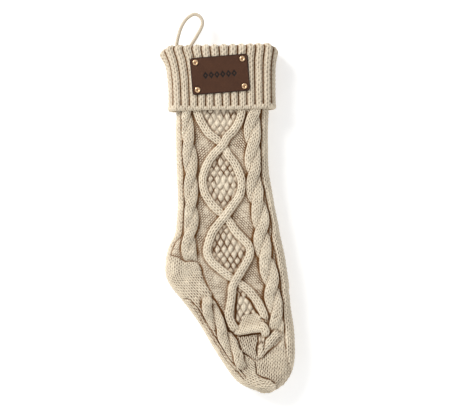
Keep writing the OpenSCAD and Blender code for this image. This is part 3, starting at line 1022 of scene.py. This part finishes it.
def paint_front(points):
    """The front panel, layer by layer: grounds, cables, diamonds, bands, knot, creases."""
    relief = Relief(points[..., 0], points[..., 2])
    from_left, from_right = seam_distance(points)
    a_line = smooth_line(body.route(DIAMOND_A))
    b_line = smooth_line(body.route(DIAMOND_B))
    paint_ground(relief, a_line, b_line)
    paint_plain(relief)
    for route, crossings, offset, half, base, rise in (
        (LEFT_CABLE, LEFT_CROSSINGS, 4.3, 7.2, -1.2, 1.8),
        (RIGHT_CABLE, RIGHT_CROSSINGS, 5.3, 8.2, -1.2, 2.0),
        (FOOT_CABLE, FOOT_CROSSINGS, 5.6, 7.4, 0.2, 3.2),
    ):
        cable(relief, smooth_line(body.route(route)), crossings, offset, half, base, rise)
    for line, over in ((a_line, (False, True, False)), (b_line, (True, False, True))):
        relief.strand(line, 6.6, 4.2, -1.2, 2, lifts(line, DIAMOND_CROSSINGS, over), hole_shade_gain=0.95)
    paint_bands(relief, from_left, from_right)
    for crease in (DIAMOND_LEFT_CREASE, DIAMOND_RIGHT_CREASE):
        relief.groove(plane_line(crease), 1.6, 4.0)
    paint_knot(relief)
    for crease, half, depth in FOOT_GROOVES:
        relief.groove(plane_line(crease), half, depth)
    relief.groove(plane_line(SOLE_VALLEY) - SOLE_FOLD_SHIFT, 1.2, 2.6)
    relief.groove(plane_line(SOLE_NOTCH), 1.6, 2.8)
    for crease in CROSS_CREASES:
        relief.groove(plane_line(crease), 1.4, 2.0)
    relief.level += 0.7 * noise(relief.x, relief.z, 30.0, 11)
    return relief


def paint_back(points):
    """The back panel is plain stockinette from seam to seam."""
    x, z = points[..., 0], points[..., 2]
    relief = Relief(x, z)
    from_left, _ = seam_distance(points)
    everywhere = np.ones(x.shape, bool)
    total = from_left[:, -1:]
    wales = np.round(total.max() / WALE)
    relief.put(everywhere, np.zeros(x.size), STOCKINETTE,
               (from_left / total * wales).ravel(), (-z / COURSE).ravel())
    return relief


def section_rows(z):
    """Row numbers where the leg, heel, foot and toe pieces begin, and the last row."""
    heel_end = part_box("heel_front")[0].z / MM
    toe_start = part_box("toe_front")[1].z / MM
    marks = [int(np.argmin(abs(z - level))) for level in (ANKLE_Z, heel_end, toe_start)]
    return [0] + [mark - mark % INNER_STEP for mark in marks] + [len(z) - 1]


def make_body(yarn):
    outer, inner = body_grid()
    marks = section_rows(outer[:, 0, 2])
    for side, paint in (("front", paint_front), ("back", paint_back)):
        relief = paint(outer)
        sheet = Sheet(outer, inner, *relief.finish(), relief.c, relief.r)
        for part, start, stop in zip(("leg", "heel", "foot", "toe"), marks, marks[1:]):
            name = f"{part}_{side}"
            made = sheet.piece(f"{name}_knit", yarn, side == "back", slice(start, stop + 1))
            crosses_ankle = part in ("leg", "heel")
            stands_for(made, name, None if crosses_ankle else "foot")
            if crosses_ankle:
                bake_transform(made)


# ---------------------------------------------------------------- cuff and lining

# Edges of the turned-down cuff and of the layer inside it, from top to bottom:
# left x, left z, right x, right z, half depth.
CUFF_ROWS = [
    (-52, -60, 129, -56, 18), (-43, -80, 125, -78, 18), (-39, -112, 124.5, -110, 18),
    (-38.5, -147, 125, -143, 18)]
LINING_ROWS = [
    (-43.2, -60, 122.2, -56, 12.2), (-36, -84, 119, -80, 12.2),
    (-29, -112, 115.5, -112, 12.2), (-27, -139.7, 114, -139.7, 12.2)]
FOLD_RISE = 11.0
FOLD_R = 5.0
CORNERS = (0.11, 0.09)
RIBS = 12
FIRST_GROOVE, LAST_GROOVE = 0.037, 0.965
RIB_WALES = 1.75
RIB_COURSE = 6.9
RIB_TOP, RIB_DEPTH = 1.6, 4.8

# The cuff's mesh: width and columns, rows over the fold and down the face, and the hem's
# radius, rows and turn in degrees.
CUFF_WIDTH, CUFF_COLUMNS = 166, 271
FOLD_STEPS = 28
FACE_STEPS = 138
LIP = 2.1
LIP_STEPS = 8
LIP_TURN = 110

# The lining's mesh: width, columns and rows, its gap to the CAD's skin, its top's drop
# below the fold, and the wales across a panel.
LINING_WIDTH, LINING_COLUMNS = 150, 127
LINING_STEPS = 66
LINING_GAP = 0.4
LINING_DROP = 6.6
LINING_WALES = 25


class Tube:
    """The cuff's shape: where a point lies for a row t, share u across, inset and drop."""

    def __init__(self, rows):
        padded = with_ends(np.array(rows, float))
        self.t = np.linspace(0, len(rows) - 1, 240)
        starts = np.minimum(self.t.astype(int), len(rows) - 2)
        self.dense = np.array([curve(padded[i:i + 4], t - i) for i, t in zip(starts, self.t)])

    def row(self, t):
        return [np.interp(t, self.t, self.dense[:, k]) for k in range(5)]

    def point(self, t, u, inset, drop):
        left, left_z, right, right_z, depth = self.row(t)
        width = right - left - 2 * inset
        side = np.minimum(u, 1 - u) * width
        reach = EDGE_ROUND * (depth - inset) / depth
        y = SEAM_GAP + (depth - inset - SEAM_GAP) * round_over(side, reach)
        rise = FOLD_RISE * np.minimum(round_over(u, CORNERS[0]), round_over(1 - u, CORNERS[1]))
        z = left_z + (right_z - left_z) * u + rise * max(0, 1 - t) + drop
        return np.stack([left + inset + u * width, -y, z + 0 * u], -1)


def shares(width, count):
    """Shares of the width from 0 to 1, crowded where the sides turn."""
    return edge_offsets(width, EDGE_ROUND, count - 2 * SIDE_COLUMNS) / width


def rib_count(u, row):
    """Ribs counted across a row of points. Past the outer grooves, one rib more fills the
    rounded side on each panel, up to the seam."""
    arc = length_along(row)
    first, last = np.interp([FIRST_GROOVE, LAST_GROOVE], u, arc)
    inner = (u - FIRST_GROOVE) / (LAST_GROOVE - FIRST_GROOVE) * RIBS
    left, right = arc / first - 1, RIBS + (arc - last) / (arc[-1] - last)
    return np.where(u < FIRST_GROOVE, left, np.where(u > LAST_GROOVE, right, inner))


def cuff_grid(u):
    """Points of the cuff's two skins, over the fold, down the face and round the hem."""
    tube = Tube(CUFF_ROWS)
    outer, inner = [], []
    inner_r = FOLD_R - RIB_T
    for angle in np.linspace(180, 0, FOLD_STEPS):
        a = math.radians(angle)
        outer.append(tube.point(0, u, FOLD_R - FOLD_R * math.cos(a),
                                FOLD_R * math.sin(a) - FOLD_R))
        inner.append(tube.point(0, u, FOLD_R - inner_r * math.cos(a),
                                inner_r * math.sin(a) - FOLD_R))
    last = len(CUFF_ROWS) - 1
    for t in np.linspace(0, last, FACE_STEPS + 1)[1:]:
        drop = -FOLD_R * max(0, 1 - t) + LIP * max(0, t - 2) ** 4
        outer.append(tube.point(t, u, 0, drop))
        inner.append(tube.point(t, u, RIB_T, drop))
    for angle in np.linspace(0, LIP_TURN, LIP_STEPS + 1)[1:]:
        a = math.radians(angle)
        outer.append(tube.point(last, u, LIP * (1 - math.cos(a)), LIP - LIP * math.sin(a)))
        inner.append(tube.point(last, u, RIB_T, LIP))
    extra = (len(outer) - 1) % INNER_STEP
    return np.array(outer)[extra:], np.array(inner)[extra:]


def make_cuff(yarn):
    """The ribbed cuff: ribs parted by grooves that close before the hem."""
    u = shares(CUFF_WIDTH, CUFF_COLUMNS)
    outer, inner = cuff_grid(u)
    x, z = outer[..., 0], outer[..., 2]
    down = length_along(outer[:, len(u) // 2])
    r = np.broadcast_to((down / RIB_COURSE)[:, None], outer.shape[:2])
    rib = rib_count(u, outer[len(outer) // 2])
    rib = rib + 0.22 * u * (1 - u) * noise(x, z, 17.0, 13)
    c = RIB_WALES * (rib - np.floor(rib) - 0.5)
    groove = 2 * (rib - np.floor(rib)) - 1
    to_hem = (down[-1] - down) - 2.5
    fade = np.clip((to_hem[:, None] - 1.5 - 14 * (u - 0.5) ** 2) / 3.5, 0, 1)
    crown = (1 - abs(groove) ** 2.3) ** 0.5
    level = RIB_TOP - RIB_DEPTH * fade * (1 - crown)
    bumps, pit = yarn_bumps(STOCKINETTE, c, r, x, z)
    under = np.clip(to_hem / 2.5 + 1.2, 0.25, 1)[:, None]
    height = level + 0.75 * under * bumps
    # Painted shade: the stitch holes darken most at each rib's middle, and the valleys between ribs
    # darken, more and more towards the right, which faces away from the key light.
    pit = pit * (0.42 + 0.45 * (1 - abs(groove)))
    valley = np.exp(-((1 - abs(groove)) / (0.13 + 0.15 * u)) ** 2)
    patchy = 0.85 + 0.35 * noise(x, z, 7.0, 14)
    pit = np.maximum(pit, (0.40 + 0.45 * u) * fade * valley * patchy)
    sheet = Sheet(outer, inner, height, level, pit, c, r)
    for side in ("front", "back"):
        name = f"cuff_{side}"
        made = sheet.piece(f"{name}_rib", yarn, side == "back")
        stands_for(made, name, "stocking")


def make_lining(yarn):
    """The layer under the cuff; its stitches are worked on the side the mouth shows."""
    tube = Tube(LINING_ROWS)
    u = shares(LINING_WIDTH, LINING_COLUMNS)
    outer, inner = [], []
    for t in np.linspace(0, len(LINING_ROWS) - 1, LINING_STEPS + 1):
        drop = -LINING_DROP * max(0, 1 - t)
        outer.append(tube.point(t, u, LINING_GAP, drop))
        inner.append(tube.point(t, u, KNIT_T, drop))
    hidden, seen = np.array(outer)[:, ::-1], np.array(inner)[:, ::-1]
    down = -seen[..., 2]
    c = np.broadcast_to(u * LINING_WALES, seen.shape[:2])
    bumps, pit = yarn_bumps(STOCKINETTE, c, down / COURSE, seen[..., 0], seen[..., 2])
    sheet = Sheet(seen, hidden, 0.6 * bumps, 0 * bumps, pit, c, down / COURSE)
    for side in ("front", "back"):
        name = f"cuff_lining_{side}"
        made = sheet.piece(f"{name}_knit", yarn, side == "back")
        stands_for(made, name, "stocking")


# ---------------------------------------------------------------- cords and stitches

def knit_cord(name, route, diameter, material, wales=4, step=0.7, around=24, relief=0.5,
              course=3.4, taper=1.5):
    """A round knitted cord along a route, in millimetres, closed by tapered ends."""
    line = smooth_line(route, step)
    way = np.gradient(line, axis=0)
    way /= np.linalg.norm(way, axis=1)[:, None]
    side = np.cross(way, (0, 1.0, 0.02))
    side /= np.linalg.norm(side, axis=1)[:, None]
    front = np.cross(side, way)
    s = length_along(line)
    theta = np.linspace(0, 2 * np.pi, around, endpoint=False)
    c = np.broadcast_to(wales * theta / (2 * np.pi) + 0.5, (len(line), around))
    r = np.broadcast_to((s / course)[:, None], c.shape)
    shape, hole = stockinette(c, r)
    bump = relief * (shape - 0.5)
    end = np.minimum(s, s[-1] - s)
    radius = (diameter / 2 + bump) * round_over(end + 0.05, taper)[:, None]
    rings = line[:, None] + radius[..., None] * (
        np.cos(theta)[None, :, None] * side[:, None] + np.sin(theta)[None, :, None] * front[:, None])
    rows, cols = c.shape
    grid = np.arange(rows * cols).reshape(rows, cols)
    turned = np.roll(grid, -1, axis=1)
    quads = np.stack([grid[:-1], turned[:-1], turned[1:], grid[1:]], -1).reshape(-1, 4)
    caps = [list(grid[0])[::-1], list(grid[-1])]
    made = make_mesh(name, rings.reshape(-1, 3), quads, caps, material)
    level = np.zeros(c.shape)
    for key, values in (("pit", hole), ("crease", level), ("broad", level), ("wale", c),
                        ("course", r)):
        add_values(made, key, values.ravel())
    return made, line, s[-1]


# The loop's route, as in part.scad: (right of the hook, behind it, above it).
LOOP_ROUTE = [
    (-25.9, 4.7, -72), (-26.2, 4.7, -64), (-26.8, 4.0, -55), (-27.2, 1.5, -48.5),
    (-26.9, 0, -43), (-26, 0, -37.5), (-23.7, 0, -28), (-20.7, 0, -19), (-17, 0, -11.5),
    (-12.3, 0, -5), (-6.8, 0, -0.5), (0, 0, 2.7), (6, 0, 1), (10.3, 0, -2.8), (12.6, 0, -8),
    (12.4, 0, -14), (9.4, 0, -21.5), (5.4, 0, -28.5), (0.8, 0, -36.5), (-3.2, 0, -43),
    (-5.4, 1.5, -48.5), (-5.4, 4.0, -55), (-4.8, 4.7, -64), (-4.5, 4.7, -72)]


def make_loop(yarn):
    made, line, length = knit_cord("hanging_loop_cord", LOOP_ROUTE, 5.2, yarn)
    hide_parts("hanging_loop", "loop_end_left", "loop_end_right")
    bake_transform(made)


# The seams up the sides, as yarn 2.2 mm thick: CAD node, edge of the outline (0 left, 1 right), body.
SIDE_SEAMS = (("leg_seam_left", 0, "stocking"), ("leg_seam_right", 1, "stocking"),
              ("sole_seam", 0, "foot"), ("instep_seam", 1, "foot"))
SEAM_INSET = KNIT_T + 1.7


def seam_yarn(node, route, body_name, yarn):
    made, _, _ = knit_cord(f"{node}_yarn", route, 2.2, yarn, wales=2, step=1.0, around=10,
                           relief=0.35, course=2.4)
    stands_for(made, node, body_name)


def make_seams(yarn):
    """The sewn edges between the front and back panels, inside their outline."""
    for node, side, body_name in SIDE_SEAMS:
        low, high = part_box(node)
        inset = -SEAM_INSET if side else SEAM_INSET
        heights = np.linspace(high.z / MM, low.z / MM + 1.5, 26)
        route = [(body.edges_at(z)[side] + inset, 0, z) for z in heights]
        seam_yarn(node, route, body_name, yarn)
    low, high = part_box("toe_seam")
    middle = (low.z + high.z) / 2 / MM
    xs = np.linspace(low.x / MM + 1.2, high.x / MM - 1.2, 6)
    route = [(x, 0, middle + (f - 0.5) * (high.z - low.z - 0.0024) / MM)
             for x, f in zip(xs, np.linspace(0, 1, 6))]
    seam_yarn("toe_seam", route, "foot", yarn)


def make_tacks(thread):
    """Six short thread tacks that sew the loop's two ends to the lining behind them."""
    parts = []
    for x in (-26.4, -4.9):
        for z in (-56, -61, -66):
            route = [(x - 3.4, 7.6, z - 0.6), (x - 2.4, 4.6, z - 0.3), (x, 2.0, z),
                     (x + 2.4, 4.6, z + 0.3), (x + 3.4, 7.6, z + 0.6)]
            tack, _, _ = knit_cord("tack", route, 1.0, thread, wales=2, step=0.5, around=8,
                                   relief=0.15, course=1.2, taper=0.5)
            parts.append(tack)
    with bpy.context.temp_override(active_object=parts[0], selected_editable_objects=parts):
        bpy.ops.object.join()
    made = parts[0]
    made.name = "loop_tacks"
    stands_for(made, "loop_stitches", "stocking")


# ---------------------------------------------------------------- patch and rivets

# Tilt in degrees, size, corner radius, distance of its two faces in front of the hook,
# columns and rows of its mesh, and the rivets' places from its middle.
PATCH_TILT = 4.7
PATCH_SIZE = (89.0, 57.0)
PATCH_CORNER = 4.5
PATCH_BACK, PATCH_FRONT = 19.0, 21.2
PATCH_POINTS = (217, 145)
RIVET_AT = (36.0, 21.0)
HALF_U, HALF_W = PATCH_SIZE[0] / 2, PATCH_SIZE[1] / 2


def patch_points():
    """Points over the patch: a grid with its corners pulled in to the rounded outline."""
    gu, gw = np.meshgrid(np.linspace(-1, 1, PATCH_POINTS[0]), np.linspace(1, -1, PATCH_POINTS[1]))
    u, w = gu * HALF_U, gw * HALF_W
    qu, qw = abs(u) - (HALF_U - PATCH_CORNER), abs(w) - (HALF_W - PATCH_CORNER)
    corner = (qu > 0) & (qw > 0)
    reach = np.hypot(qu, qw)
    scale = np.where(corner & (reach > 0), np.maximum(qu, qw) / np.maximum(reach, 1e-6), 1)
    return (np.where(corner, np.sign(u) * (HALF_U - PATCH_CORNER + qu * scale), u),
            np.where(corner, np.sign(w) * (HALF_W - PATCH_CORNER + qw * scale), w))


def inside_patch(u, w):
    """Distance inward from the patch's rounded outline."""
    qu, qw = abs(u) - HALF_U + PATCH_CORNER, abs(w) - HALF_W + PATCH_CORNER
    out = np.hypot(np.maximum(qu, 0), np.maximum(qw, 0)) + np.minimum(np.maximum(qu, qw), 0)
    return PATCH_CORNER - out


def ornament(u, w):
    """A generic row of six pressed lozenges with open middles, from 0 to 1."""
    pitch = 8.8
    off = abs((u / pitch) % 1 - 0.5) * pitch
    lozenge = off / 4.2 + abs(w) / 5.8 < 1
    middle = off / 1.5 + abs(w) / 2.2 < 1
    return (lozenge & ~middle & (abs(u) < 3 * pitch)).astype(float)


def patch_height(u, w, inward, mark):
    """Thickness of the leather: rounded rim, grain, pressed ornament, rings at the rivets."""
    rim = round_over(np.maximum(inward, 0), 1.0)
    grain = 0.10 * noise(u, w, 1.1, 31) + 0.12 * noise(u, w, 6.0, 32)
    press = np.zeros_like(u)
    for su in (-1, 1):
        for sw in (-1, 1):
            away = np.hypot(u - su * RIVET_AT[0], w - sw * RIVET_AT[1])
            press += 0.55 * np.exp(-((away - 4.6) / 1.6) ** 2)
    thick = PATCH_FRONT - PATCH_BACK
    return thick * (0.45 + 0.55 * rim) - press * rim + grain * rim - 0.35 * mark


def make_patch(leather):
    u, w = patch_points()
    inward = inside_patch(u, w)
    mark = blurred_both(ornament(u, w), 0.7)
    front = PATCH_BACK + patch_height(u, w, inward, mark)
    tilt = math.radians(PATCH_TILT)
    low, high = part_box("leather_patch")
    centre = ((low + high) / 2) / MM

    def placed(depth, shrink):
        pu, pw = u * (1 - shrink / HALF_U), w * (1 - shrink / HALF_W)
        x = centre.x + pu * math.cos(tilt) - pw * math.sin(tilt)
        z = centre.z + pu * math.sin(tilt) + pw * math.cos(tilt)
        return np.stack([x, -depth, z], -1)

    outer_faces, inner_faces, rims = shell_faces(*u.shape, INNER_STEP)
    back = placed(np.full_like(u, PATCH_BACK), 0.4)
    small = back[::INNER_STEP, ::INNER_STEP].reshape(-1, 3)
    points = np.concatenate([placed(front, 0).reshape(-1, 3), small])
    made = make_mesh("leather_patch_hide", points, np.concatenate([outer_faces, inner_faces]),
                     rims, leather)
    pad = np.zeros(len(small))
    add_values(made, "edge", np.concatenate([np.exp(-(inward / 1.5) ** 2).ravel(), pad + 1]))
    add_values(made, "mark", np.concatenate([mark.ravel(), pad]))
    stands_for(made, "leather_patch", "stocking")


def finish_rivets():
    copper = metal_material("copper_cap", (1.0, 0.76, 0.50, 1), (0.74, 0.45, 0.24, 1))
    plain = metal_material("copper_post_metal", (0.70, 0.42, 0.24, 1), (0.45, 0.24, 0.12, 1))
    for index in range(1, 5):
        for name, material in ((f"rivet_cap_{index}", copper), (f"rivet_post_{index}", plain)):
            mesh = NODES[name].data
            mesh.materials.clear()
            mesh.materials.append(material)


make_camera()
knit_yarn = yarn_material("knit_yarn", CREAM, CREASE_SHADE_BROWN, HOLE_SHADE_BROWN)
cord_yarn = yarn_material("cord_yarn", CREAM, CREASE_SHADE_BROWN, HOLE_SHADE_BROWN)
make_loop(cord_yarn)
make_lights()
make_stage()
make_body(knit_yarn)
# The cuff's darker cream is painted shade over its ribs.
make_cuff(yarn_material("rib_yarn_shaded", RIB_SHADED_CREAM, CREASE_SHADE_BROWN, HOLE_SHADE_BROWN))
make_lining(knit_yarn)
make_seams(cord_yarn)
make_tacks(cord_yarn)
make_patch(leather_material())
finish_rivets()
